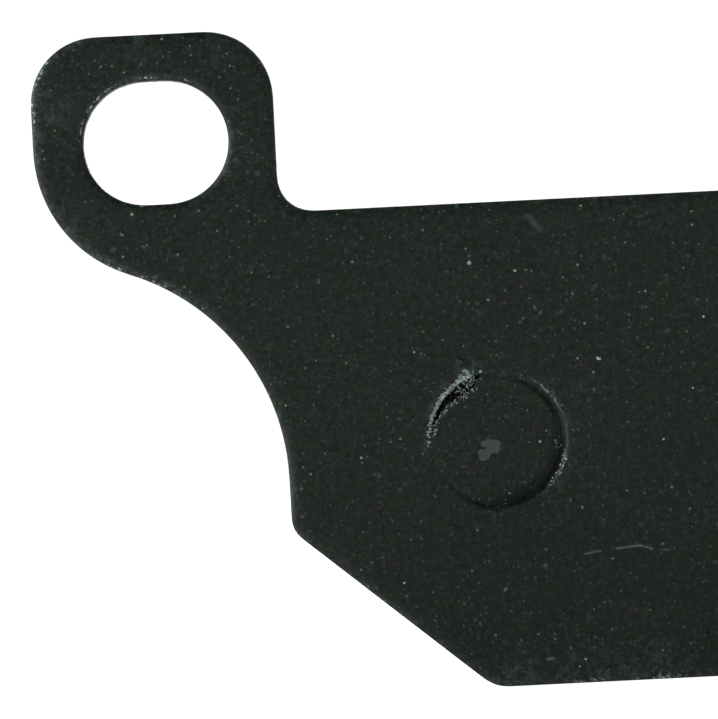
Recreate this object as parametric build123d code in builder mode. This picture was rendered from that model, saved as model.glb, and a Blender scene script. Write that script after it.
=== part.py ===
from build123d import *
from math import atan2, degrees, sqrt
import os

# A two-eared disc brake pad, in millimetres.
# X runs along the pad, Y from the pistons towards the disc, and Z up towards the ears.
# The origin is midway between the two pin slots, on the plate's piston face.

os.makedirs("parts", exist_ok=True)

# ---- driving dimensions ----

# layers, stacked along Y from the piston face
plate_thickness = 4.0
film_thickness = 0.1
underlayer_thickness = 1.4
friction_thickness = 3.5

# ears and the pin slots through them
slot_pitch = 80.4
slot_length = 9.9
slot_width = 8.4
ear_top = 7.36
ear_inner_side = 32.1
ear_outer_side = 48.54
ear_root_radius = 2.4
ear_corner_radius = 4.5

# the rounded underside of each ear, and the hollow that leads from it to the body
lobe_radius = 9.06
lobe_level = -0.28
waist_radius = 15.3

# body between the ears
body_side = 32.27
body_top = -5.12
body_bottom = -38.03
shoulder_level = -26.77
bottom_corner = 19.04
shoulder_radius = 1.6
bottom_corner_radius = 2.5

# stamped holes that lock the moulding to the plate
retention_x = 18.0
retention_z = -21.3
retention_radius = 4.65
plug_recess = 0.35

# rounding that stamping leaves round the plate's piston face
die_roll = 0.4

# moulded block
block_margin = 1.2
block_corner_radius = 2.6
block_draft = 3.0
groove_width = 2.0
groove_depth = 2.7
groove_root_radius = 0.5
ramp_run = 2.4
ramp_rise = 1.1

# ---- levels along Y ----

plate_back = 0.0
film_level = plate_back + plate_thickness
underlayer_level = film_level + film_thickness
friction_level = underlayer_level + underlayer_thickness
disc_level = friction_level + friction_thickness

retention_centres = [(-retention_x, retention_z), (retention_x, retention_z)]
pin_centres = [(-slot_pitch / 2, 0), (slot_pitch / 2, 0)]


def across(level):
    """A sketch plane across the pad: its x is X, its y is Z, and it faces the pistons."""
    return Plane.XZ.offset(-level)


def plate_outline():
    """The stamped plate's outline: the +X half is drawn, then mirrored."""
    lobe_centre = (ear_outer_side - lobe_radius, lobe_level)
    waist_x = body_side + waist_radius
    centre_gap = lobe_radius + waist_radius
    run = waist_x - lobe_centre[0]
    drop = sqrt(centre_gap**2 - run**2)
    waist_centre = (waist_x, lobe_level - drop)
    lobe_sweep = degrees(atan2(drop, run))
    with BuildSketch() as outline:
        with BuildLine():
            FilletPolyline(
                (0, body_top),
                (ear_inner_side, body_top),
                (ear_inner_side, ear_top),
                (ear_outer_side, ear_top),
                (ear_outer_side, lobe_level),
                radius=(ear_root_radius, ear_corner_radius, ear_corner_radius),
            )
            CenterArc(lobe_centre, lobe_radius, 0, -lobe_sweep)
            CenterArc(waist_centre, waist_radius, 180 - lobe_sweep, lobe_sweep)
            FilletPolyline(
                (body_side, waist_centre[1]),
                (body_side, shoulder_level),
                (bottom_corner, body_bottom),
                (0, body_bottom),
                radius=(shoulder_radius, bottom_corner_radius),
            )
            mirror(about=Plane.YZ)
        make_face()
    return outline.sketch


def block_outline():
    """The moulded block's outline: the plate's body without its ears, drawn in by the margin."""
    half = [(body_side, body_top), (body_side, shoulder_level), (bottom_corner, body_bottom)]
    other_half = [(-x, z) for x, z in reversed(half)]
    with BuildSketch() as outline:
        with BuildLine():
            Polyline(*half, *other_half, close=True)
        make_face()
        offset(amount=-block_margin, kind=Kind.INTERSECTION, mode=Mode.REPLACE)
        fillet(outline.vertices(), radius=block_corner_radius)
    return outline.sketch


# ---- backing plate: stamped steel with two ears, pin slots and retention holes ----

with BuildPart() as backing_plate:
    with BuildSketch(across(film_level)):
        add(plate_outline())
        with Locations(*pin_centres):
            SlotOverall(slot_length, slot_width, mode=Mode.SUBTRACT)
        with Locations(*retention_centres):
            Circle(retention_radius, mode=Mode.SUBTRACT)
    extrude(amount=plate_thickness)
    piston_face = backing_plate.faces().sort_by(Axis.Y)[0]
    fillet(piston_face.edges(), radius=die_roll)

backing_plate.part.label = "backing_plate"
export_step(backing_plate.part, "parts/backing_plate.step")

# ---- bonding film: the thin cured adhesive between the plate and the moulding ----

with BuildPart() as bonding_film:
    with BuildSketch(across(underlayer_level)):
        add(block_outline())
        with Locations(*retention_centres):
            Circle(retention_radius, mode=Mode.SUBTRACT)
    extrude(amount=film_thickness)

bonding_film.part.label = "bonding_film"
export_step(bonding_film.part, "parts/bonding_film.step")

# ---- pressed moulding: one drafted block, parted at the level where the two mixes meet ----

with BuildPart() as moulding:
    with BuildSketch(across(underlayer_level)):
        add(block_outline())
    extrude(amount=-(disc_level - underlayer_level), taper=block_draft)

# ---- underlayer: the lower mix, which also fills the retention holes as plugs ----

with BuildPart() as underlayer:
    add(moulding.part)
    split(bisect_by=across(friction_level), keep=Keep.TOP)
    with BuildSketch(across(underlayer_level)):
        with Locations(*retention_centres):
            Circle(retention_radius)
    extrude(amount=underlayer_level - plug_recess)

underlayer.part.label = "underlayer"
export_step(underlayer.part, "parts/underlayer.step")

# ---- friction block: grooved down the middle, with a ramp along each end ----

with BuildPart() as friction_block:
    add(moulding.part)
    split(bisect_by=across(friction_level), keep=Keep.BOTTOM)
    end_x = friction_block.part.bounding_box().max.X
    with BuildSketch(Plane.XY):
        with BuildLine():
            Polyline(
                (end_x - ramp_run, disc_level),
                (end_x, disc_level),
                (end_x, disc_level - ramp_rise),
                close=True,
            )
            mirror(about=Plane.YZ)
        make_face()
    extrude(amount=-body_bottom, both=True, mode=Mode.SUBTRACT)
    with BuildSketch(Plane.XY):
        with Locations((0, disc_level)):
            RectangleRounded(groove_width, 2 * groove_depth, groove_root_radius)
    extrude(amount=-body_bottom, both=True, mode=Mode.SUBTRACT)

friction_block.part.label = "friction_block"
export_step(friction_block.part, "parts/friction_block.step")
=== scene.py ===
import math

import bmesh
import bpy
import numpy as np
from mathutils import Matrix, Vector, geometry, kdtree, noise


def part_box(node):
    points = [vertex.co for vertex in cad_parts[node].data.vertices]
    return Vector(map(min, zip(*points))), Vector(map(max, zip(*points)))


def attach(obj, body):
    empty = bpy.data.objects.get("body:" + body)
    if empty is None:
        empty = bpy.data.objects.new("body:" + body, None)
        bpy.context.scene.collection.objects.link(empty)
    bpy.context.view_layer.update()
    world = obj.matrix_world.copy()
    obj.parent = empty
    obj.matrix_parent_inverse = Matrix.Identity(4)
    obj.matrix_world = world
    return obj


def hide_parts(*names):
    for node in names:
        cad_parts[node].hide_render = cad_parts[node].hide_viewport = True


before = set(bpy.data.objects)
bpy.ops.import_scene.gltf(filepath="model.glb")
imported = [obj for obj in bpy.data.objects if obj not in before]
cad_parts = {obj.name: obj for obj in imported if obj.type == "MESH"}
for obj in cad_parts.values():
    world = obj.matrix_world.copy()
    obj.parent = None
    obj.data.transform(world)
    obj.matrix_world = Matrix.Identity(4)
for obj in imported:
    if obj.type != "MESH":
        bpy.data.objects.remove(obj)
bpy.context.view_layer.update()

# The looks of a disc brake pad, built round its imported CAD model.
# The pad stands upright: X along it, Y from the pistons to the disc, Z up. Meshes are worked out
# in millimetres and written in metres, each in its CAD place.

MM = 0.001
dice = np.random.default_rng(7)

# ---- places taken from the frame, in mm ----

plate_low, plate_high = [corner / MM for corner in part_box("backing_plate")]
film_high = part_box("bonding_film")[1] / MM
under_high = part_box("underlayer")[1] / MM
block_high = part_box("friction_block")[1] / MM
plate_thickness = plate_high.y - plate_low.y


# ---- mesh helpers ----


def flat_loops(node, level):
    """The closed outlines, as (x, z) rows in mm, of a CAD node's flat face at this level along Y.
    The longest comes first. All run the same way round the material."""
    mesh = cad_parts[node].data
    directed = set()
    for face in mesh.polygons:
        corners = [mesh.vertices[index].co for index in face.vertices]
        if all(abs(corner.y / MM - level) < 0.001 for corner in corners):
            spots = [(round(corner.x / MM, 4), round(corner.z / MM, 4)) for corner in corners]
            directed.update(zip(spots, spots[1:] + spots[:1]))
    following = {a: b for a, b in sorted(directed) if (b, a) not in directed}
    loops = []
    while following:
        start = min(following)
        loop = [start]
        here = following.pop(start)
        while here != start:
            loop.append(here)
            here = following.pop(here)
        loops.append(np.array(loop))
    return sorted(loops, key=perimeter, reverse=True)


def perimeter(loop):
    return float(np.hypot(*(np.roll(loop, -1, 0) - loop).T).sum())


def signed_area(loop):
    x, z = loop.T
    return float((x * np.roll(z, -1) - np.roll(x, -1) * z).sum() / 2)


def even_loop(loop, spacing, softness):
    """The loop with evenly spaced points, its facets smoothed away over the softness, in mm."""
    closed = np.vstack([loop, loop[:1]])
    travel = np.r_[0, np.cumsum(np.hypot(*np.diff(closed, axis=0).T))]
    count = max(24, int(round(travel[-1] / spacing)))
    steps = np.arange(count) * travel[-1] / count
    path = np.interp(steps, travel, closed[:, 0]) + 1j * np.interp(steps, travel, closed[:, 1])
    turns = np.fft.fftfreq(count) * softness / spacing
    path = np.fft.ifft(np.fft.fft(path) * np.exp(-2 * (np.pi * turns) ** 2))
    return np.column_stack([path.real, path.imag])


def inward(loop, side):
    """Unit normals into the material; side is the sign of the outer loop's area."""
    along = np.roll(loop, -1, 0) - np.roll(loop, 1, 0)
    along /= np.hypot(*along.T)[:, None]
    return side * np.column_stack([-along[:, 1], along[:, 0]])


def inside(points, loops):
    """Which points lie in the material bounded by the loops, by the even-odd rule."""
    result = np.zeros(len(points), bool)
    for loop in loops:
        ends = np.roll(loop, -1, 0)
        for (x0, z0), (x1, z1) in zip(loop, ends):
            if z0 == z1:
                continue
            spans = (points[:, 1] > min(z0, z1)) & (points[:, 1] <= max(z0, z1))
            cross = x0 + (points[:, 1] - z0) * (x1 - x0) / (z1 - z0)
            result ^= spans & (points[:, 0] < cross)
    return result


def fbm(points, size, octaves, seed):
    """Smooth noise from about -1 to 1 at each point, with features about this size in mm."""
    scaled = np.asarray(points, float) / size + seed
    return np.array([noise.fractal(Vector(p), 0.9, 2.0, octaves) for p in scaled])


def window(values, low, high):
    """0 below low, 1 above high, smooth between them."""
    t = np.clip((np.asarray(values, float) - low) / (high - low), 0, 1)
    return t * t * (3 - 2 * t)


def at_level(spots, level):
    """(x, y, z) rows from (x, z) rows, at this level along Y or each at its own."""
    return np.column_stack([spots[:, 0], np.broadcast_to(level, len(spots)), spots[:, 1]])


def flat(level):
    """A face's level as a function of its points, the same for all of them."""
    return lambda spots: np.full(len(spots), level)


def distances(points, others):
    """How far each point is from the nearest of the others."""
    tree = kdtree.KDTree(len(others))
    for number, (x, z) in enumerate(others):
        tree.insert((x, 0, z), number)
    tree.balance()
    return np.array([tree.find((x, 0, z))[2] for x, z in points])


def apart(points, others, gap):
    """The points that lie further than this gap from all the others."""
    return points[distances(points, others) > gap]


def reached(faces, fixed, free_from):
    """The triangles joined to one with a point numbered free_from or more, across no fixed edge."""
    owners = {}
    for number, face in enumerate(faces):
        for a, b in zip(face, face[1:] + face[:1]):
            owners.setdefault(frozenset((a, b)), []).append(number)
    found = {number for number, face in enumerate(faces) if max(face) >= free_from}
    waiting = sorted(found)
    while waiting:
        face = faces[waiting.pop()]
        for a, b in zip(face, face[1:] + face[:1]):
            side = frozenset((a, b))
            if side not in fixed:
                fresh = [number for number in owners[side] if number not in found]
                found.update(fresh)
                waiting.extend(fresh)
    return [faces[number] for number in sorted(found)]


# how points keep their distance in a filled face: the grid's jitter and its gap to the rim, in grid
# spacings, then the details' gaps to the grid and to the rim, in mm
grid_jitter, grid_rim_gap = 0.12, 0.4
detail_gap, detail_rim_gap = 0.16, 0.08


class Shell:
    """A mesh under construction, in mm, with one number per point under each tag name.
    kind is the number of the material that the next faces get."""

    def __init__(self, *tags):
        self.points = []
        self.faces = []
        self.kinds = []
        self.kind = 0
        self.tags = {tag: [] for tag in tags}
        self.count = 0

    def add(self, points, **values):
        first = self.count
        points = np.asarray(points, float)
        self.points.append(points)
        self.count += len(points)
        for tag, column in self.tags.items():
            column.append(np.broadcast_to(values.get(tag, 0.0), len(points)).astype(float))
        return np.arange(first, self.count)

    def face(self, *corners):
        self.faces.append(tuple(int(corner) for corner in corners))
        self.kinds.append(self.kind)

    def ring(self, loop, level, **values):
        return self.add(at_level(loop, level), **values)

    def bridge(self, lower, upper):
        for a, b, c, d in zip(lower, np.roll(lower, -1), np.roll(upper, -1), upper):
            self.face(a, b, c, d)

    def skin(self, rings):
        """Joins each ring of points to the next; gives the first and the last."""
        for lower, upper in zip(rings, rings[1:]):
            self.bridge(lower, upper)
        return rings[0], rings[-1]

    def fill(self, rings, spacing, level, details=None, **values):
        """Triangles between the rings, through a jittered grid and any detail points.
        level and the tag values are functions of (x, z) rows; level may give all the tag values too,
        as a second result. A detail is (x, z, lift, pale)."""
        so_far = np.vstack(self.points)
        loops = [so_far[ring][:, [0, 2]] for ring in rings]
        rim = np.vstack(loops)
        low, high = rim.min(0), rim.max(0)
        row_height = spacing * math.sqrt(3) / 2
        columns, rows = np.arange(low[0], high[0], spacing), np.arange(low[1], high[1], row_height)
        xs, zs = np.meshgrid(columns, rows)
        xs = xs + (np.arange(len(xs)) % 2)[:, None] * spacing / 2
        grid = np.column_stack([xs.ravel(), zs.ravel()])
        grid += dice.uniform(-grid_jitter, grid_jitter, grid.shape) * spacing
        grid = apart(grid[inside(grid, loops)], rim, spacing * grid_rim_gap)
        lift = np.zeros(len(grid))
        pale = np.zeros(len(grid))
        if details is not None:
            grid = apart(grid, details[:, :2], detail_gap)
            details = details[inside(details[:, :2], loops)]
            details = details[distances(details[:, :2], rim) > detail_rim_gap]
            lift = np.r_[np.zeros(len(grid)), details[:, 2]]
            pale = np.r_[np.zeros(len(grid)), details[:, 3]]
            grid = np.vstack([grid, details[:, :2]])
        levels = level(grid)
        found = {tag: value(grid) for tag, value in values.items()}
        if isinstance(levels, tuple):
            levels, found = levels
        inner = self.add(at_level(grid, levels - lift), pale=pale, **found)
        indices = np.concatenate([*rings, inner])
        edges, start = [], 0
        for ring in rings:
            edges += [(start + i, start + (i + 1) % len(ring)) for i in range(len(ring))]
            start += len(ring)
        spots = [Vector(spot) for spot in np.vstack([rim, grid])]
        _, _, triangles, origin, _, _ = geometry.delaunay_2d_cdt(spots, edges, [], 0, 1e-9)
        triangles = [tuple(origin[corner][0] for corner in triangle) for triangle in triangles]
        for triangle in reached(triangles, {frozenset(edge) for edge in edges}, len(rim)):
            self.face(*indices[list(triangle)])

    def build(self, name, *materials):
        """Makes the Blender object, its tags as point attributes, riding on the pad's one body."""
        mesh = bpy.data.meshes.new(name)
        mesh.from_pydata((np.vstack(self.points) * MM).tolist(), [], self.faces)
        for tag, column in self.tags.items():
            attribute = mesh.attributes.new(tag, "FLOAT", "POINT")
            attribute.data.foreach_set("value", np.concatenate(column).astype(np.float32))
        for material in materials:
            mesh.materials.append(material)
        mesh.polygons.foreach_set("material_index", self.kinds)
        mesh.polygons.foreach_set("use_smooth", [True] * len(mesh.polygons))
        tidy = bmesh.new()
        tidy.from_mesh(mesh)
        loose = [point for point in tidy.verts if not point.link_faces]
        bmesh.ops.delete(tidy, geom=loose, context="VERTS")
        bmesh.ops.recalc_face_normals(tidy, faces=tidy.faces)
        tidy.to_mesh(mesh)
        tidy.free()
        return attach(new_object(name, mesh), "root")


def new_object(name, data):
    """A new object in the scene."""
    thing = bpy.data.objects.new(name, data)
    bpy.context.scene.collection.objects.link(thing)
    return thing


# ---- material helpers ----


def put(tree, socket, value):
    """Links the socket to this one, or gives it this value."""
    if isinstance(value, bpy.types.NodeSocket):
        tree.links.new(value, socket)
    elif socket.type == "RGBA":
        socket.default_value = (*value, 1)
    else:
        socket.default_value = value


def add_node(tree, kind, *values, **settings):
    """A new node of this kind with these settings, and these values or sockets on its first inputs."""
    node = tree.nodes.new("ShaderNode" + kind)
    for name, setting in settings.items():
        setattr(node, name, setting)
    for socket, value in zip(node.inputs, values):
        put(tree, socket, value)
    return node


class Paint:
    """A node material under construction. Coordinates are the object's own, in mm."""

    def __init__(self, name):
        self.material = bpy.data.materials.new(name)
        self.material.use_nodes = True
        self.tree = self.material.node_tree
        self.place = self.vector("SCALE", self.node("TexCoord").outputs["Object"], scale=1 / MM)

    def node(self, kind, *values, **settings):
        return add_node(self.tree, kind, *values, **settings)

    def vector(self, kind, a, b=(0, 0, 0), scale=1.0):
        return self.node("VectorMath", a, b, (0, 0, 0), scale, operation=kind).outputs["Vector"]

    def math(self, kind, a, b):
        return self.node("Math", a, b, operation=kind).outputs[0]

    def times(self, *values):
        result = values[0]
        for value in values[1:]:
            result = self.math("MULTIPLY", result, value)
        return result

    def plus(self, *values):
        result = values[0]
        for value in values[1:]:
            result = self.math("ADD", result, value)
        return result

    def span(self, value, low, high, to_low=0.0, to_high=1.0):
        """value, taken smoothly from low..high to to_low..to_high and kept between them."""
        values = (value, low, high, to_low, to_high)
        return self.node("MapRange", *values, interpolation_type="SMOOTHSTEP").outputs[0]

    def noise(self, size, detail=2.0, rough=0.5, place=None, shift=0.0):
        spot = self.vector("ADD", place or self.place, (shift, shift * 0.7, -shift))
        node = self.node("TexNoise", spot)
        node.inputs["Scale"].default_value = 1 / size
        node.inputs["Detail"].default_value = detail
        node.inputs["Roughness"].default_value = rough
        return node.outputs["Fac"]

    def cells(self, size, shift):
        """Distance to the nearest cell centre, in cell sizes, and that cell's random colour."""
        spot = self.vector("ADD", self.place, (shift, -shift, shift * 0.3))
        node = self.node("TexVoronoi", spot)
        node.inputs["Scale"].default_value = 1 / size
        return node.outputs["Distance"], node.outputs["Color"]

    def split(self, colour):
        return self.node("SeparateColor", colour).outputs

    def split_place(self):
        return self.node("SeparateXYZ", self.place).outputs

    def join(self, x, y, z):
        return self.node("CombineXYZ", x, y, z).outputs[0]

    def blend(self, share, a, b, kind="MIX"):
        node = self.node("Mix", share, data_type="RGBA", blend_type=kind)
        put(self.tree, node.inputs[6], a)
        put(self.tree, node.inputs[7], b)
        return node.outputs[2]

    def tag(self, name):
        return self.node("Attribute", attribute_name=name).outputs["Fac"]

    def relief(self, height, depth, under=None):
        """A bump whose height runs from 0 to 1 over this depth in mm."""
        node = self.node("Bump")
        node.inputs["Strength"].default_value = 1.0
        node.inputs["Distance"].default_value = depth * MM
        put(self.tree, node.inputs["Height"], height)
        if under is not None:
            put(self.tree, node.inputs["Normal"], under)
        return node.outputs[0]

    def finish(self, colour, roughness, normal, metallic=0.0, specular=0.5):
        looks = {
            "Base Color": colour,
            "Roughness": roughness,
            "Normal": normal,
            "Metallic": metallic,
            "Specular IOR Level": specular,
        }
        shader = self.tree.nodes["Principled BSDF"]
        for name, look in looks.items():
            put(self.tree, shader.inputs[name], look)
        return self.material


# ---- materials ----


def coat_base(paint, grain, cloud):
    """Near-black paint with a fine grain, drifting a little between greenish, reddish and bluish."""
    dark, light = (0.0036, 0.0081, 0.0055), (0.0236, 0.0337, 0.0267)
    red_drift = paint.noise(0.80, detail=5.0, rough=0.72, shift=31.0)
    blue_drift = paint.noise(0.90, detail=5.0, rough=0.68, shift=77.0)
    depth = paint.plus(paint.span(grain, 0.22, 0.78), paint.times(paint.plus(cloud, -0.5), 0.25))
    warm = paint.plus(paint.times(paint.plus(red_drift, -0.5), 3.2), 1.0)
    cold = paint.plus(paint.times(paint.plus(blue_drift, -0.5), 2.0), 1.0)
    return paint.vector("MULTIPLY", paint.blend(depth, dark, light), paint.join(warm, 1.0, cold))


def coat_crumble_and_shade(paint, colour, bare):
    """Rubble of bare compound where the plug is crumbled: grey grains, with near-black painted shade in
    the voids between them.
    """
    # dark is painted shade for the voids in the rubble; light is the compound's own grey
    dark, light = (0.0022, 0.0022, 0.0018), (0.075, 0.085, 0.075)
    rubble = paint.span(paint.noise(0.2, detail=3.0, shift=21.0), 0.45, 0.75)
    return paint.blend(bare, colour, paint.blend(rubble, dark, light))


# layers of specks: the cell's size in mm, the speck's reach in cells, the share of cells with a
# speck, its brightness, how ragged it is, and the layer's shift
speck_layers = (
    (0.24, 0.45, 0.22, 0.017, 0.0, 3.0),
    (0.38, 0.32, 0.22, 0.027, 0.0, 57.0),
    (0.80, 0.26, 0.20, 0.013, 1.0, 83.0),
)
brightest_speck = 0.7


def coat_specks(paint, colour, wear):
    """Specks of dust and pigment: most are faint, and a few in each layer are bright."""
    cold, warm = (0.70, 1.00, 1.05), (1.12, 0.96, 0.60)
    crowd = paint.plus(1.0, paint.times(wear, 4.0))
    fray = paint.plus(paint.noise(0.22, detail=3.0, rough=0.6, shift=38.0), -0.5)
    for size, reach, share, strength, ragged, shift in speck_layers:
        distance, random = paint.cells(size, shift=shift)
        pick, hue, power = paint.split(random)
        distance = paint.plus(distance, paint.times(fray, ragged))
        chosen = paint.math("LESS_THAN", pick, paint.times(crowd, share))
        spot = paint.times(chosen, paint.span(distance, reach, reach * 0.35))
        bright = paint.times(paint.math("POWER", power, -0.55), strength)
        bright = paint.math("MINIMUM", bright, brightest_speck)
        tone = paint.vector("SCALE", paint.blend(hue, cold, warm), scale=bright)
        colour = paint.blend(spot, colour, tone, "ADD")
    return colour


def coat_dust(paint, colour, wear, cloud):
    """Fine pale dust, thicker where the paint is worn and on the painted highlight round the plug holes,
    and smears where it is lightly worn.
    """
    dust_colour, smear_colour = (0.110, 0.130, 0.118), (0.080, 0.112, 0.110)
    settled = paint.plus(paint.noise(0.30, detail=3.0, shift=8.0), paint.times(wear, 0.45))
    dust = paint.times(paint.span(settled, 0.60, 0.85), paint.span(cloud, 0.35, 0.7, 0.4, 1.0))
    colour = paint.blend(paint.times(dust, 0.42), colour, dust_colour)
    smear = paint.span(paint.noise(0.85, detail=5.0, rough=0.65, shift=45.0), 0.46, 0.66)
    smear = paint.times(smear, paint.span(wear, 0.04, 0.26), paint.span(wear, 0.27, 0.36, 1.0, 0.0))
    return paint.blend(paint.times(smear, 0.42), colour, smear_colour)


def coat_flecks(paint, colour, wear):
    """Pale flecks where an edge is rubbed, and a painted highlight of such flecks along part of each plug
    hole's rim. Also gives how rubbed each place is, highlight included.
    """
    flecks = paint.noise(0.26, detail=4.0, rough=0.7, shift=19.0)
    rubbed_and_highlit = paint.span(paint.plus(flecks, wear), 0.90, 1.04)
    strength = paint.span(paint.noise(0.14, detail=2.0, shift=66.0), 0.35, 0.68, 0.35, 1.9)
    fleck_colour = paint.vector("SCALE", (0.34, 0.44, 0.46), scale=strength)
    return paint.blend(paint.times(rubbed_and_highlit, 0.9), colour, fleck_colour), rubbed_and_highlit


def coat_marks(paint, colour):
    """Nibs, chips and scratches, and the flat grey patch with its finely torn edge."""
    mark_colour = (0.42, 0.48, 0.46)
    patch_dark, patch_light = (0.036, 0.050, 0.043), (0.108, 0.130, 0.117)
    pale = paint.math("MINIMUM", paint.tag("pale"), 1.0)
    colour = paint.blend(paint.times(pale, 0.9), colour, mark_colour)
    patch = paint.tag("patch")
    skin = paint.blend(paint.noise(0.3, detail=4.0, shift=4.0), patch_dark, patch_light)
    tear = paint.times(paint.plus(paint.noise(0.12, detail=2.0, shift=24.0), -0.5), 1.6)
    tear = paint.times(tear, paint.span(patch, 0.0, 0.3), paint.span(patch, 0.7, 1.0, 1.0, 0.0))
    return paint.blend(paint.span(paint.plus(patch, tear), 0.4, 0.6), colour, skin)


def powder_coat():
    """Satin black powder coat. The mesh's tags say where it is worn, where a highlight is painted, and
    where it is bare, marked or shaded.
    """
    paint = Paint("powder_coat")
    wear = paint.tag("wear")
    bare = paint.span(paint.tag("bare"), 0.35, 0.65)
    shade = paint.tag("shade")
    grain = paint.noise(0.36, detail=5.0, rough=0.66)
    cloud = paint.noise(7.0, detail=3.0, shift=12.0)
    colour = coat_base(paint, grain, cloud)
    colour = coat_crumble_and_shade(paint, colour, bare)
    colour = coat_specks(paint, colour, wear)
    colour = coat_dust(paint, colour, wear, cloud)
    colour, rubbed_and_highlit = coat_flecks(paint, colour, wear)
    colour = coat_marks(paint, colour)
    colour = paint.vector("SCALE", colour, scale=paint.math("SUBTRACT", 1.0, paint.times(shade, 0.75)))
    orange_peel = paint.noise(0.55, detail=2.0, shift=5.0)
    normal = paint.relief(grain, 0.006, paint.relief(orange_peel, 0.012))
    rough = paint.span(paint.plus(grain, paint.times(rubbed_and_highlit, 0.4)), 0.3, 0.9, 0.44, 0.62)
    dull = paint.math("MAXIMUM", bare, paint.times(shade, 0.9))
    specular = paint.times(paint.math("SUBTRACT", 1.0, dull), 0.24)
    return paint.finish(colour, rough, normal, specular=specular)


def crumb_material():
    """Loose grains of compound and primer, each as pale as the mesh says."""
    paint = Paint("crumbs")
    mottle = paint.noise(0.1, detail=2.0)
    light = paint.blend(mottle, (0.40, 0.48, 0.52), (0.55, 0.56, 0.46))
    colour = paint.blend(paint.tag("pale"), (0.03, 0.04, 0.035), light)
    return paint.finish(colour, 0.7, paint.relief(mottle, 0.02))


def film_material():
    paint = Paint("bonding_film")
    mottle = paint.noise(0.5, detail=3.0)
    colour = paint.blend(mottle, (0.020, 0.013, 0.008), (0.075, 0.050, 0.028))
    return paint.finish(colour, 0.5, paint.relief(mottle, 0.02))


def compound(name, dark, light, flecks, metal_share):
    """Moulded friction compound: a grainy grey body with mineral, fibre and metal flecks. A kind of
    fleck is its cell's size in mm, its reach in cells, its share of cells, its colour, whether it is
    metal, and its shift."""
    paint = Paint(name)
    body = paint.noise(0.45, detail=4.0, rough=0.65)
    colour = paint.blend(paint.span(body, 0.3, 0.7), dark, light)
    metallic = 0.0
    for size, reach, share, tone, metal, shift in flecks:
        distance, random = paint.cells(size, shift=shift)
        pick, _, power = paint.split(random)
        chosen = paint.math("LESS_THAN", pick, share)
        spot = paint.times(chosen, paint.span(distance, reach, reach * 0.6))
        tone = paint.vector("SCALE", tone, scale=paint.span(power, 0.0, 1.0, 0.6, 1.1))
        colour = paint.blend(spot, colour, tone)
        if metal:
            metallic = paint.math("MAXIMUM", metallic, paint.times(spot, metal_share))
    # painted shade: the bumped pits are darkened nearly to black
    pit_shade_colour = (0.008, 0.008, 0.008)
    pits = paint.span(paint.noise(0.3, detail=3.0, shift=41.0), 0.36, 0.5)
    colour = paint.blend(paint.times(paint.math("SUBTRACT", 1.0, pits), 0.6), colour, pit_shade_colour)
    normal = paint.relief(body, 0.04, paint.relief(pits, 0.06))
    return paint, colour, metallic, normal


def underlayer_material():
    flecks = (
        (0.30, 0.30, 0.08, (0.30, 0.29, 0.26), False, 4.0),
        (0.22, 0.34, 0.04, (0.42, 0.30, 0.13), True, 17.0),
    )
    paint, colour, metallic, normal = compound(
        "underlayer", (0.020, 0.019, 0.017), (0.060, 0.056, 0.050), flecks, 0.7
    )
    return paint.finish(colour, 0.8, normal, metallic)


def friction_material():
    flecks = (
        (0.55, 0.36, 0.10, (0.020, 0.020, 0.020), False, 9.0),
        (0.35, 0.34, 0.10, (0.34, 0.33, 0.31), False, 4.0),
        (0.24, 0.34, 0.06, (0.62, 0.42, 0.18), True, 17.0),
        (0.20, 0.34, 0.05, (0.60, 0.58, 0.55), True, 27.0),
    )
    paint, colour, metallic, normal = compound(
        "friction_mix", (0.038, 0.037, 0.036), (0.105, 0.101, 0.096), flecks, 0.8
    )
    # grinding marks run along the pad on the ground face
    x, y, z = paint.split_place()
    marks = paint.noise(0.16, detail=2.0, place=paint.join(paint.times(x, 0.04), 0.0, z), shift=2.0)
    ground = paint.span(y, block_high.y - 0.4, block_high.y - 0.05)
    normal = paint.relief(paint.times(marks, ground), 0.03, normal)
    scored = paint.times(ground, paint.span(marks, 0.5, 0.7), 0.25)
    colour = paint.blend(scored, colour, (0.17, 0.165, 0.16))
    return paint.finish(colour, 0.72, normal, metallic)


# ---- backing plate ----

# The plate's back is its painted piston face, and its front is the side that the block is moulded on.

# what the powder coat reads from the mesh: how rubbed it is, with the painted highlight round the plug
# holes, how crumbled, how pale a mark is, the grey patch, and how shaded
coat_tags = ("wear", "bare", "pale", "patch", "shade")

# how far the second plug's pocket is turned from the first one's, in degrees
plug_turns = (0, 140)

# the plate's edges, in mm: the spacing of points along them and how much they are smoothed, how far
# the wall leans in at the front, and the small bevel that ends it there
rim_spacing, edge_softness = 0.16, 0.3
breakout = 0.07
front_bevel_reach, front_bevel_depth = 0.12, 0.08

# its rolled edges: how far in and how deep they go, then how far from the edge most paint is rubbed
# off and over what spread, all in mm
outer_roll = (0.85, 0.30, 0.10, 0.38)
plug_hole_roll = (0.24, 0.15, 0.09, 0.30)
slot_roll = (0.60, 0.30, 0.22, 0.17)

# how rubbed the paint is along any edge, how much of that shows at the crest of the wear and how much
# in the skirt round it, and the sizes in mm of the skirt, of a plug rim's wear and painted highlight, and
# of the wear's depth
edge_wear, crest_share, skirt_share = 0.10, 0.70, 0.18
skirt_reach, rim_crest, rim_spread, wear_depth = 0.6, 0.09, 0.18, 0.5

# grids of the plate's two faces, in mm
back_spacing, front_spacing = 0.75, 0.9

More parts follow.
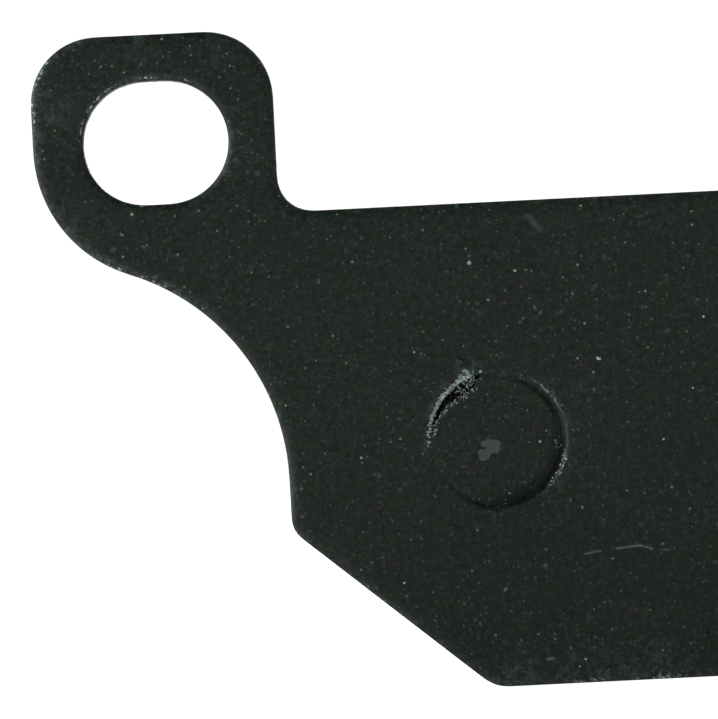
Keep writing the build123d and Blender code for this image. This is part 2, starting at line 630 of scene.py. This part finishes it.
# places on the pad's left half where its edges are rubbed through: x, z, reach, strength
worn_edges = [
    (-48.3, 3.4, 2.4, 0.30), (-47.7, 5.7, 1.3, 0.26), (-48.4, -0.4, 1.8, 0.26), (-46.8, -4.6, 2.0, 0.16),
    (-43.6, -8.4, 1.8, 0.40), (-40.6, -9.9, 1.8, 0.42), (-42.8, 3.6, 1.2, 0.42), (-40.5, 4.5, 1.2, 0.44),
    (-37.8, 4.1, 1.0, 0.40), (-45.1, 1.0, 1.4, 0.30), (-44.0, 2.8, 1.0, 0.34), (-35.9, -2.2, 1.2, 0.18),
    (-19.0, -37.7, 1.4, 0.16), (-13.5, -38.0, 2.8, 0.16), (-7.0, -38.0, 3.2, 0.17),
    (-26.0, -33.0, 3.0, 0.18), (-32.5, -24.0, 3.0, 0.14), (-45.6, 6.9, 1.6, 0.20),
    (-36.8, -11.4, 2.0, 0.14),
]
# dusty patches on the face: x, z, reach, strength
dusty_patches = [
    (-46.9, 2.2, 2.0, 0.20), (-41.0, 6.5, 1.6, 0.20), (-35.0, 6.0, 1.6, 0.17), (-45.8, -5.4, 1.6, 0.18),
    (-34.4, -1.5, 1.6, 0.14), (-19.8, -16.4, 0.8, 0.42), (-17.5, -37.2, 1.8, 0.20),
    (-13.0, -37.4, 2.2, 0.22), (-8.0, -37.4, 2.6, 0.24), (-18.4, -25.0, 1.4, 0.18),
    (-34.6, 1.8, 1.2, 0.16), (-12.2, -18.0, 0.9, 0.18), (-17.0, -36.9, 1.0, 0.10),
]
# rubbed places round the left plug's rim, and from 50 to -45 degrees a painted highlight along its
# right side: angle, reach, strength
rim_wear_and_highlight = [
    (119, 0.7, 0.32), (130, 1.1, 0.56), (146, 1.1, 0.56), (162, 1.0, 0.30), (180, 0.8, 0.28),
    (50, 1.0, 0.30), (30, 1.2, 0.28), (8, 1.2, 0.22), (-14, 1.1, 0.28), (-30, 1.0, 0.30),
    (-45, 0.8, 0.22),
]

# larger nibs on the left half: x, z, reach, how pale
large_nibs = [
    (-19.36, -9.19, 0.18, 1.3), (-42.04, -4.72, 0.18, 1.3), (-15.22, -29.95, 0.2, 0.25),
    (-12.03, -9.69, 0.14, 0.6),
]
large_nib_height = 0.03
small_nib_count = 430

# scratches and smears: corner points, width, how pale
strokes = [
    (((-12.56, -29.30), (-11.36, -29.12)), 0.10, 0.30),
    (((-10.38, -29.04), (-8.76, -28.89), (-7.89, -29.16)), 0.11, 0.42),
    (((-7.40, -29.25), (-6.67, -29.32)), 0.09, 0.22),
    (((-16.00, -5.40), (-15.55, -5.86), (-14.40, -7.25)), 0.30, 0.13),
    (((-18.12, -31.55), (-17.93, -31.33)), 0.13, 0.60),
    (((-15.45, -36.30), (-14.95, -36.27)), 0.16, 0.40),
    (((-39.60, -7.20), (-39.88, -8.15)), 0.07, 0.14),
    (((-43.35, -7.00), (-43.65, -7.40)), 0.22, 0.16),
    (((-41.50, -6.95), (-41.25, -7.02)), 0.10, 0.30),
    (((-15.10, -12.30), (-15.07, -12.55)), 0.12, 0.45),
    (((-14.60, -12.66), (-14.80, -12.95)), 0.12, 0.40),
    (((-15.86, -13.05), (-15.95, -13.20)), 0.12, 0.36),
    (((-16.04, -13.30), (-16.18, -13.44)), 0.13, 0.30),
]


def plug_circles():
    """(centre x, centre z, radius) of the two plugs, the left one first."""
    circles = []
    for loop in flat_loops("underlayer", film_high.y)[1:]:
        centre = (loop.max(0) + loop.min(0)) / 2
        circles.append((*centre, float(np.hypot(*(loop - centre).T).max())))
    return sorted(circles)


plugs = plug_circles()
plate_loops = [
    even_loop(loop, rim_spacing, edge_softness) for loop in flat_loops("backing_plate", plate_high.y)
]
hand = math.copysign(1.0, signed_area(plate_loops[0]))


def plate_profile(reach, depth):
    """(distance in from the outline, level along Y, share of wall) from the back round to the front."""
    steps = []
    for angle in np.radians(np.linspace(90, 0, 10)):
        steps.append((reach * (1 - math.cos(angle)), depth * (1 - math.sin(angle)), 0.0))
    for t in np.linspace(0, 1, 10)[1:]:
        level = depth + t * (plate_thickness - front_bevel_depth - depth)
        steps.append((breakout * float(window(t, 0.55, 1.0)), level, 1.0))
    steps.append((breakout + front_bevel_reach / 4, plate_thickness - front_bevel_depth / 4, 0.5))
    steps.append((breakout + front_bevel_reach, plate_thickness, 0.0))
    return steps


def field(spots, places):
    """The sum of soft round patches (x, z, reach, strength), weaker on the pad's other half."""
    amount = np.zeros(len(spots))
    for x, z, reach, strength in places:
        for side, share in ((1, 1.0), (-1, 0.7)):
            away = (spots[:, 0] - side * x) ** 2 + (spots[:, 1] - z) ** 2
            amount += share * strength * np.exp(-away / reach**2)
    return amount


def rim_wear_and_highlight_places():
    """The rubbed places and the painted highlight round the left plug's rim, as x, z, reach and strength.
    """
    x, z, radius = plugs[0]
    radius += 0.2
    return [
        (x + radius * math.cos(math.radians(angle)), z + radius * math.sin(math.radians(angle)), *rest)
        for angle, *rest in rim_wear_and_highlight
    ]


def rubbing_and_highlight(spots, offset, level=0.0, crest=0.1, spread=0.3):
    """How rubbed the paint is, from the place, the distance from an edge and the depth, with the painted
    highlight round the plug holes' rims. crest is the distance from the edge at which most paint is gone."""
    edge = field(spots, worn_edges) + edge_wear
    skirt = crest_share * np.exp(-(((offset - crest) / spread) ** 2))
    skirt = skirt + skirt_share * np.exp(-offset / skirt_reach)
    # the left plug rim's rubbed places and its painted highlight, mirrored onto the other plug
    rim = field(spots, rim_wear_and_highlight_places()) * np.exp(-(((offset - rim_crest) / rim_spread) ** 2))
    fade = math.exp(-((level / wear_depth) ** 2))
    return (edge * skirt + rim) * fade + field(spots, dusty_patches)


# wear of the plate's back, with the painted highlight round the plug holes
def face_wear(spots):
    rim = np.vstack(plate_loops)
    return rubbing_and_highlight(spots, distances(spots, rim))


def nib(x, z, reach, height, pale):
    """A small lump or chip: rings of detail points (x, z, lift, pale) round a centre."""
    rows = [(x, z, height, pale)]
    for share, count in ((0.5, 6), (1.0, 9)):
        fade = 1 - share**2
        for angle in np.linspace(0, math.tau, count, endpoint=False) + x:
            spot = (x + share * reach * math.cos(angle), z + share * reach * math.sin(angle))
            rows.append((*spot, height * fade, pale * fade * 0.9))
    return rows


def stroke_rows(corners, width, pale):
    """A scratch or smear as three rows of detail points, its middle row pale and slightly broken."""
    rows = []
    for (x0, z0), (x1, z1) in zip(corners, corners[1:]):
        length = math.hypot(x1 - x0, z1 - z0)
        across = ((z0 - z1) / length * width, (x1 - x0) / length * width)
        steps = max(2, int(length / 0.14))
        rows += [(x0 - across[1], z0 + across[0], 0.0, 0.0), (x1 + across[1], z1 - across[0], 0.0, 0.0)]
        for t in (np.arange(steps) + 0.5) / steps:
            x, z = x0 + t * (x1 - x0), z0 + t * (z1 - z0)
            rows.append((x, z, -0.004, pale * dice.uniform(0.55, 1.1)))
            rows += [(x + side * across[0], z + side * across[1], 0.0, 0.0) for side in (-1, 1)]
    return rows


def back_details():
    """Nibs and chips scattered over the painted back, and the marks in their places."""
    rows = []
    for corners, width, pale in strokes:
        rows += stroke_rows(corners, width, pale)
    for x, z, reach, pale in large_nibs:
        rows += nib(x, z, reach, large_nib_height, pale)
    for _ in range(small_nib_count):
        x, z = dice.uniform(plate_low.x, plate_high.x), dice.uniform(plate_low.z, plate_high.z)
        pale = 0.12 + 0.5 * dice.random() ** 3
        rows += nib(x, z, dice.uniform(0.06, 0.12), dice.uniform(0.005, 0.03), pale)
    return np.array(rows)


def back_level(spots):
    """The back's level: flat but for a slow waviness of about 0.01 mm."""
    return 0.012 * fbm(at_level(spots, 0.0), 6.0, 2, 3.0)


def edge_roll(loop):
    """This edge's roll, and its share of the roll's depth at each point."""
    if loop is plate_loops[0]:
        return outer_roll, np.ones(len(loop))
    for plug, turn in zip(plugs, plug_turns):
        radius, angle = polar(loop, plug)
        if radius.max() < 1.5:
            return plug_hole_roll, seam(angle - turn)
    return slot_roll, np.ones(len(loop))


def plate_rings(shell, number, loop):
    """The skin along one edge of the plate, from its back round to its front; gives the first and
    the last ring of points."""
    (reach, depth, crest, spread), share = edge_roll(loop)
    stretch = (plate_thickness - depth * share) / (plate_thickness - depth)
    normals = inward(loop, hand)
    streak = fbm(np.column_stack([loop, np.zeros(len(loop))]), 0.5, 3, number)
    rings = []
    for offset, level, wall in plate_profile(reach, depth):
        rough = fbm(at_level(loop, level), 0.35, 3, 9.0 + number)
        torn = window(level, plate_thickness * 0.55, plate_thickness * 0.8)
        push = wall * (0.012 * streak + 0.035 * torn * rough)
        moved = loop + normals * (offset + push)[:, None]
        ripple = 0.008 * rough * window(offset, 0, 0.3) * (1 - window(offset, reach * 0.6, reach))
        levels = level * share if level < depth else plate_thickness - (plate_thickness - level) * stretch
        # worn also carries the painted highlight round the plug holes
        worn = rubbing_and_highlight(moved, offset, level, crest, spread)
        rings.append(shell.ring(moved, levels + (1 - wall) * ripple, wear=worn))
    return shell.skin(rings)


def build_plate(material):
    shell = Shell(*coat_tags)
    ends = [plate_rings(shell, number, loop) for number, loop in enumerate(plate_loops)]
    back_rings, front_rings = zip(*ends)
    shell.fill(back_rings, back_spacing, back_level, back_details(), wear=face_wear)
    shell.fill(front_rings, front_spacing, flat(plate_thickness))
    plate = shell.build("plate", material)
    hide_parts("backing_plate")


# ---- underlayer and its plugs ----

# the crumbled pocket at the plug's rim: angle in degrees and where its inner edge lies, in plug radii
pocket_edge = [
    (98, 1.03), (106, 0.95), (112, 0.85), (122, 0.80), (132, 0.84), (141, 0.885), (150, 0.90),
    (158, 0.93), (170, 0.975), (180, 1.03),
]
# a flat grey patch on the plug, as lobes: x and z from the plug's centre, and reach
patch_lobes = [
    (-0.22, -0.32, 0.36), (-0.65, -0.20, 0.32), (-0.98, -0.22, 0.20), (-0.15, -0.64, 0.24),
    (-0.58, -0.58, 0.34), (-0.85, -0.85, 0.28), (-1.18, -0.78, 0.24), (-1.10, -1.10, 0.28),
    (-0.82, -1.08, 0.22),
]


def polar(spots, plug):
    """Each point's radius in plug radii, and its angle in degrees, from -180 to 180."""
    x, z = spots[:, 0] - plug[0], spots[:, 1] - plug[1]
    return np.hypot(x, z) / plug[2], np.degrees(np.arctan2(z, x))


def bump(angle, middle, width):
    """1 at the middle angle and falling off over the width, in degrees."""
    return np.exp(-((((angle - middle + 180) % 360 - 180) / width) ** 2))


def seam(angle):
    """How open the groove round a plug is, from 0, bridged by the paint, to 1."""
    return np.clip(1 - 0.97 * bump(angle, 84, 30) - 0.90 * bump(angle, -152, 46), 0.02, 1)


def pocket_shape(radius, angle, spread):
    """How far each point lies in the crumbled pocket, and how much it is on the pocket's lip."""
    edge = np.interp(angle % 360, *zip(*pocket_edge))
    depth = radius - edge + 0.03 * fbm(spread, 0.3, 3, 2.0)
    lip = np.exp(-(((depth + 0.008) / 0.032) ** 2)) * bump(angle, 150, 34)
    return window(depth, -0.012, 0.02), lip


def droop_start(angle, spread):
    """The radius, in plug radii, from which the skin sags."""
    ragged = 0.015 * fbm(spread, 0.6, 3, 8.0)
    return 0.88 - 0.14 * bump(angle, -55, 50) - 0.05 * bump(angle, 2, 16) + ragged


def plug_skin(radius, angle, spread, start):
    """The painted skin's level, in mm: nearly flat, sagging towards the rim at the lower right, and
    drawn back up at the rim itself."""
    fall = np.clip(1.3 * bump(angle, -42, 70) + 0.2 * bump(angle, 45, 30), 0, 1)
    droop = fall * np.clip((radius - start) / (0.95 - start), 0, 1)
    face = 0.03 + 0.03 * radius * np.cos(np.radians(angle + 38)) + 0.015 * fbm(spread, 1.6, 2, 1.0)
    sagged = face + (0.24 + 0.24 * bump(angle, -55, 60)) * droop
    fillet = window(radius + 0.006 * fbm(spread, 0.4, 3, 12.0), 0.945, 1.0)
    return sagged * (1 - fillet) + (0.012 + 0.14 * seam(angle)) * fillet


def patch_shape(reach, angle, spread):
    """How far each point lies in the flat grey patch; reach is in mm from the plug's centre."""
    x, z = reach * np.cos(np.radians(angle)), reach * np.sin(np.radians(angle))
    lobes = [size - np.hypot(x - lobe_x, z - lobe_z) for lobe_x, lobe_z, size in patch_lobes]
    return window(np.max(lobes, axis=0) + 0.07 * fbm(spread, 0.2, 4, 6.0), -0.07, 0.07)


def plug_face(spots, plug, turn):
    """The painted plug at these points: its level along Y, and its tag values."""
    radius, angle = polar(spots, plug)
    angle = angle - turn
    spread = at_level(spots, 0.0)
    hollow, lip = pocket_shape(radius, angle, spread)
    crumbly = hollow * bump(angle, 119, 12)
    rubble = 0.5 + 0.5 * fbm(spread, 0.2, 3, 5.0)
    start = droop_start(angle, spread)
    patch = patch_shape(radius * plug[2], angle, spread)
    skin = plug_skin(radius, angle, spread, start)
    level = skin + hollow * (0.20 + 0.5 * rubble * (1 - 0.6 * crumbly)) - 0.012 * patch
    streak = np.exp(-(((radius - 0.95) / 0.05) ** 2)) * bump(angle, -160, 22)
    worn = 0.40 * lip + 0.20 * crumbly + 0.06 * streak + 0.05
    sagging = window(radius, start - 0.05, start + 0.06) * (1 - window(radius, 0.93, 0.985))
    shade = 0.42 * bump(angle, -62, 64) * sagging
    return level, dict(bare=hollow, wear=worn, patch=patch, shade=shade)


def turned(points, angle, first, second):
    """The points turned by this angle in the plane of the two numbered axes."""
    result = points.copy()
    result[:, first] = math.cos(angle) * points[:, first] - math.sin(angle) * points[:, second]
    result[:, second] = math.sin(angle) * points[:, first] + math.cos(angle) * points[:, second]
    return result


def grain_points(centre, size, stretch, angle):
    """An angular grain: an eight-cornered block with its corners thrown about, drawn out this
    many times along the angle in the plane of the plate."""
    corners = np.array([(a, b, c) for a in (-1, 1) for b in (-1, 1) for c in (-1, 1)], float)
    corners *= dice.uniform(0.35, 1.0, corners.shape) * size
    corners = turned(turned(corners, dice.uniform(0, math.tau), 0, 1), dice.uniform(0, math.tau), 1, 2)
    corners[:, 0] *= stretch
    return turned(corners, angle + dice.uniform(-0.9, 0.9), 0, 2) + centre


block_faces = ((0, 1, 3, 2), (4, 6, 7, 5), (0, 4, 5, 1), (2, 3, 7, 6), (0, 2, 6, 4), (1, 5, 7, 3))


def edge_crumbs():
    """Bands of crumbs along the pocket's inner edge, one for each stretch of it."""
    bands = []
    for (angle, inner), (next_angle, next_inner) in zip(pocket_edge[3:], pocket_edge[4:-1]):
        middle = (inner + next_inner) / 2
        radii = (middle - 0.06, middle + 0.01)
        bands.append((12, (angle, next_angle), radii, (0.03, 0.08), 0.0, (0.1, 0.8), 1))
    return bands


# bands of loose crumbs round a plug: how many, between which angles in degrees and radii in plug
# radii, sizes and depth in mm, how pale, and how drawn out along the radius
crumb_bands = [
    (64, (114, 176), (0.995, 1.05), (0.04, 0.10), 0.02, (0.4, 1.0), 1),
    (16, (106, 116), (0.93, 1.01), (0.03, 0.07), 0.03, (0.2, 0.8), 1),
    (22, (107, 127), (0.76, 0.99), (0.035, 0.055), 0.06, (0.2, 1.0), 4),
    (20, (107, 134), (0.80, 1.0), (0.04, 0.09), 0.12, (0.1, 0.9), 1),
    *edge_crumbs(),
    (34, (160, 180), (0.91, 1.02), (0.05, 0.11), 0.03, (0.2, 0.9), 1),
    (2, (101, 102.5), (1.03, 1.04), (0.10, 0.12), 0.02, (1.0, 1.0), 1),
    (8, (60, 100), (0.97, 1.01), (0.03, 0.05), 0.03, (0.2, 0.9), 1),
    (26, (-46, -8), (0.97, 1.01), (0.04, 0.08), 0.08, (0.2, 0.9), 1),
    (18, (-16, 4), (0.80, 0.93), (0.03, 0.07), 0.16, (0.1, 0.6), 1),
    (12, (182, 232), (0.97, 1.02), (0.025, 0.05), 0.04, (0.2, 0.7), 1),
    (18, (228, 276), (0.80, 0.95), (0.025, 0.055), 0.10, (0.05, 0.45), 1),
    (9, (274, 284), (0.71, 0.80), (0.03, 0.06), 0.04, (0.1, 0.5), 1),
]


def scatter_crumbs(shell, plug, turn, band):
    """The loose crumbs of compound in one band round a plug."""
    count, angles, radii, sizes, depth, pales, stretch = band
    for _ in range(count):
        angle = math.radians(dice.uniform(*angles) + turn)
        radius = dice.uniform(*radii) * plug[2]
        level = depth + dice.uniform(-0.06, 0.10)
        centre = (plug[0] + radius * math.cos(angle), level, plug[1] + radius * math.sin(angle))
        points = grain_points(np.array(centre), dice.uniform(*sizes), stretch, angle)
        first = shell.add(points, pale=dice.uniform(*pales))[0]
        for face in block_faces:
            shell.face(*(first + corner for corner in face))


# the underlayer's materials, by number, and the spacings of its points in mm
COAT, COMPOUND, CRUMB = 0, 1, 2
side_spacing = 0.22
flat_spacing = 1.6
plug_spacing = 0.085
plug_points = 330
plug_gap = 0.004

# the plug's rounded rim: how far in from its edge, and how far below its face, in mm
plug_rim = ((0.0, 0.016), (0.005, 0.004), (0.016, 0.0))


def build_sides(shell):
    """The underlayer's drafted, uneven side wall; gives its lowest and highest ring of points."""
    bottom = flat_loops("underlayer", film_high.y)[0]
    top = flat_loops("underlayer", under_high.y)[0]
    draft = bottom[:, 0].max() - top[:, 0].max()
    outline = even_loop(bottom, side_spacing, edge_softness)
    normals = inward(outline, math.copysign(1.0, signed_area(outline)))
    rings = []
    for t in np.linspace(0, 1, 8):
        level = film_high.y + t * (under_high.y - film_high.y)
        push = draft * t + 0.05 * np.abs(fbm(at_level(outline, level), 0.5, 4, 7.0))
        rings.append(shell.ring(outline + normals * push[:, None], level))
    return shell.skin(rings)


def build_plug(shell, hole, turn):
    """One plug with its painted face and its crumbs; gives the ring of points at its root."""
    x, z, radius = hole
    plug = (x, z, radius - plug_gap)
    angles = np.linspace(0, math.tau, plug_points, endpoint=False)
    circle = np.column_stack([x + plug[2] * np.cos(angles), z + plug[2] * np.sin(angles)])
    shell.kind = COMPOUND
    root = previous = shell.ring(circle, film_high.y)
    for inset, drop in plug_rim:
        loop = circle + (np.array([x, z]) - circle) * inset / plug[2]
        level, tags = plug_face(loop, plug, turn)
        rim = shell.ring(loop, level + drop * seam(polar(loop, plug)[1] - turn), **tags)
        shell.bridge(previous, rim)
        previous = rim
    shell.kind = COAT
    shell.fill([rim], plug_spacing, lambda spots: plug_face(spots, plug, turn))
    shell.kind = CRUMB
    for band in crumb_bands:
        scatter_crumbs(shell, plug, turn, band)
    return root


def build_underlayer(*materials):
    shell = Shell(*coat_tags)
    shell.kind = COMPOUND
    lowest, highest = build_sides(shell)
    shell.fill([highest], flat_spacing, flat(under_high.y))
    roots = [build_plug(shell, hole, turn) for hole, turn in zip(plugs, plug_turns)]
    shell.kind = COMPOUND
    shell.fill([lowest, *roots], flat_spacing, flat(film_high.y))
    piece = shell.build("underlayer_and_plugs", *materials)
    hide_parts("underlayer")


# ---- friction block ----

# sizes in mm: the block's mesh, and how deep its chips, pits and grain go
voxel = 0.24
chip_depth, pit_depth, grain_depth = 0.26, 0.10, 0.02


def weather(points, normals):
    """How far each point of the block is pushed in, in mm: chips along its edges, pits and grain,
    and nothing where it lies on the underlayer."""
    facing = normals[:, 1]
    rim = window(facing, 0.12, 0.35) * (1 - window(facing, 0.86, 0.985))
    chips = rim * window(fbm(points, 0.9, 3, 4.0), 0.05, 0.45)
    pits = window(fbm(points, 0.42, 3, 14.0), 0.22, 0.5)
    grain = fbm(points, 0.5, 3, 24.0) + 1
    buried = window(-facing, 0.3, 0.7)
    return (chip_depth * chips + pit_depth * pits + grain_depth * grain) * (1 - buried)


def build_friction(material):
    """The CAD block remeshed finely, with a ground face, moulded sides, pits and chipped edges."""
    welded = bmesh.new()
    welded.from_mesh(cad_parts["friction_block"].data)
    bmesh.ops.remove_doubles(welded, verts=welded.verts, dist=1e-6)
    mesh = bpy.data.meshes.new("friction")
    welded.to_mesh(mesh)
    welded.free()
    mesh.materials.append(material)
    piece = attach(new_object("friction", mesh), "root")
    remesh = piece.modifiers.new("remesh", "REMESH")
    remesh.mode = "VOXEL"
    remesh.voxel_size = voxel * MM
    graph = bpy.context.evaluated_depsgraph_get()
    fine = bpy.data.meshes.new_from_object(piece.evaluated_get(graph))
    piece.modifiers.clear()
    piece.data = fine
    bpy.data.meshes.remove(mesh)
    fine.name = "friction"
    points = np.zeros(len(fine.vertices) * 3)
    fine.vertices.foreach_get("co", points)
    points = points.reshape(-1, 3) / MM
    normals = np.array([vertex.normal[:] for vertex in fine.vertices])
    points -= normals * weather(points, normals)[:, None]
    fine.vertices.foreach_set("co", (points * MM).ravel())
    fine.polygons.foreach_set("use_smooth", [True] * len(fine.polygons))
    fine.update()
    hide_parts("friction_block")


# ---- scene ----


# the floor's glow: how strong for the camera near the pad and far from it, and how strong as light,
# then the two distances in metres
glow_near, glow_far, glow_unseen = 0.86, 1.05, 0.34
haze_near, haze_far = 0.15, 0.60
floor_half_side = 6.0

# the surroundings' brightness for the camera, and as light
sky_seen, sky_unseen = 1.1, 0.046


def floor_surface():
    """A pale floor that glows, more so far away, so that it runs into the white surroundings."""
    material = bpy.data.materials.new("floor")
    material.use_nodes = True
    tree = material.node_tree
    tree.nodes.clear()
    place = add_node(tree, "TexCoord").outputs["Object"]
    away = add_node(tree, "VectorMath", place, operation="LENGTH").outputs["Value"]
    haze = add_node(tree, "MapRange", away, haze_near, haze_far, glow_near, glow_far).outputs[0]
    seen = add_node(tree, "LightPath").outputs["Is Camera Ray"]
    strength = add_node(tree, "MapRange", seen, 0, 1, glow_unseen, haze).outputs[0]
    glow = add_node(tree, "Emission", (1, 1, 1), strength).outputs[0]
    diffuse = add_node(tree, "BsdfDiffuse", (0.5, 0.5, 0.5)).outputs[0]
    both = add_node(tree, "AddShader", glow, diffuse).outputs[0]
    add_node(tree, "OutputMaterial", both)
    return material


def build_stage():
    side, height = floor_half_side, plate_low.z * MM
    corners = [(-side, -side, height), (side, -side, height), (side, side, height), (-side, side, height)]
    mesh = bpy.data.meshes.new("floor")
    mesh.from_pydata(corners, [], [(0, 1, 2, 3)])
    mesh.materials.append(floor_surface())
    new_object("floor", mesh)


def build_world():
    """White to the camera and a dim soft grey to the pad."""
    world = bpy.data.worlds.new("studio")
    bpy.context.scene.world = world
    world.use_nodes = True
    tree = world.node_tree
    seen = add_node(tree, "LightPath").outputs["Is Camera Ray"]
    strength = add_node(tree, "MapRange", seen, 0, 1, sky_unseen, sky_seen).outputs[0]
    background = tree.nodes["Background"]
    put(tree, background.inputs["Color"], (1, 1, 1))
    put(tree, background.inputs["Strength"], strength)


# soft lights: name, place, what it points at, size, watts and colour
studio_lights = (
    ("left_box", (-0.52, -0.10, 0.13), (-0.02, 0, -0.02), (0.30, 0.24), 2.6, (1, 1, 1)),
    ("upper_fill", (0.45, 0.05, 0.50), (-0.02, 0, -0.01), (0.30, 0.30), 2.0, (0.86, 1.0, 0.90)),
    ("disc_side_box", (0.35, 0.70, 0.45), (0, 0, -0.02), (0.50, 0.50), 16.0, (1.0, 0.93, 0.96)),
)


def soft_light(name, spot, target, size, watts, colour):
    data = bpy.data.lights.new(name, "AREA")
    data.shape = "RECTANGLE"
    data.size, data.size_y = size
    data.energy = watts
    data.color = colour
    light = new_object(name, data)
    light.location = spot
    light.rotation_mode = "QUATERNION"
    light.rotation_quaternion = (Vector(target) - Vector(spot)).to_track_quat("-Z", "Y")


# the camera: where it looks, in x and z, how far off it is, how wide its view is there, how far it
# is rolled, and the picture's height over its width
aim_x, aim_z = -0.027154, -0.015368
camera_distance = 0.62
view_width = 0.048824
camera_roll = math.radians(2.85)
picture_shape = 719 / 718


def build_camera():
    """Square on to the plate's back, rolled a little, and close enough to crop the right half."""
    data = bpy.data.cameras.new("camera")
    data.sensor_width = 36.0
    data.lens = data.sensor_width * camera_distance / view_width * picture_shape
    data.clip_start, data.clip_end = 0.01, 50.0
    camera = new_object("camera", data)
    camera.location = (aim_x, -camera_distance, aim_z)
    camera.rotation_euler = (math.radians(90), camera_roll, 0)
    bpy.context.scene.camera = camera


coat = powder_coat()
build_plate(coat)
build_underlayer(coat, underlayer_material(), crumb_material())
build_friction(friction_material())
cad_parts["bonding_film"].data.materials[0] = film_material()

build_stage()
build_world()
for light in studio_lights:
    soft_light(*light)
build_camera()
scene = bpy.context.scene
scene.view_settings.view_transform = "Standard"
scene.view_settings.look = "None"
